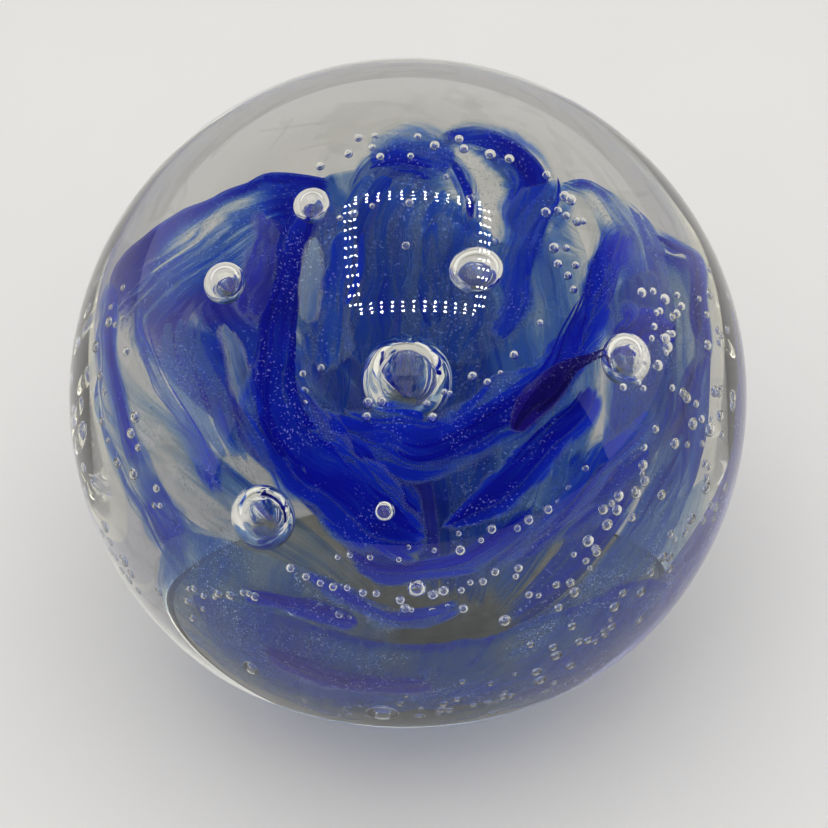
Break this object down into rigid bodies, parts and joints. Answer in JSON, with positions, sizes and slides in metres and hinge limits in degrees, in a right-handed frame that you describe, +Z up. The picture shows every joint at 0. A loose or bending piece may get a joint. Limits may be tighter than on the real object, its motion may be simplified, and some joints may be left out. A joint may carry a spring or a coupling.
{
  "type": "glass ball paperweight",
  "caption": "Clear glass ball with a ground flat foot, holding blue, violet and white glass drawn into curled petals and folds among trapped bubbles",
  "frame": {"origin": "middle of the foot, on the surface it stands on", "axes": "+Z up through the middle of the ball; +X to the right and -Y towards the viewer in front of the folded glass"},
  "size_m": [0.08, 0.08, 0.0723],
  "materials": {
    "clear_glass": "fire-polished, with a ground foot",
    "clear_gather_glass": "clear, sealed inside",
    "cobalt_glass": "dense streaked blue, sealed inside",
    "royal_blue_glass": "streaked blue, sealed inside",
    "steel_blue_glass": "thin smoky blue, sealed inside",
    "violet_glass": "speckled violet blue, sealed inside",
    "purple_glass": "dark purple, sealed inside",
    "white_glass": "milky pale blue, sealed inside"
  },
  "bodies": {
    "root": {"outer_casing": "clear_glass", "inner_gather": "clear_gather_glass", "left_outer_petal": "steel_blue_glass", "left_petal": "royal_blue_glass", "back_petal": "steel_blue_glass", "back_right_petal": "royal_blue_glass", "right_petal": "steel_blue_glass", "right_outer_petal": "violet_glass", "front_bowl": "steel_blue_glass", "left_lobe": "royal_blue_glass", "back_lobe": "steel_blue_glass", "right_lobe": "steel_blue_glass", "violet_fold": "violet_glass", "dark_tongue": "cobalt_glass", "inner_cup_fold": "cobalt_glass", "back_right_fold": "cobalt_glass", "purple_stroke": "purple_glass", "right_front_fold": "cobalt_glass", "lower_right_fold": "royal_blue_glass", "inner_veil": "royal_blue_glass", "outer_veil": "royal_blue_glass", "cobalt_cap": "cobalt_glass", "right_crest": "cobalt_glass", "steel_streak": "steel_blue_glass", "white_strip": "white_glass", "white_ribbon": "white_glass", "lower_streak": "cobalt_glass", "lower_violet_fold": "violet_glass", "left_inner_fold": "cobalt_glass"}
  },
  "joints": []
}
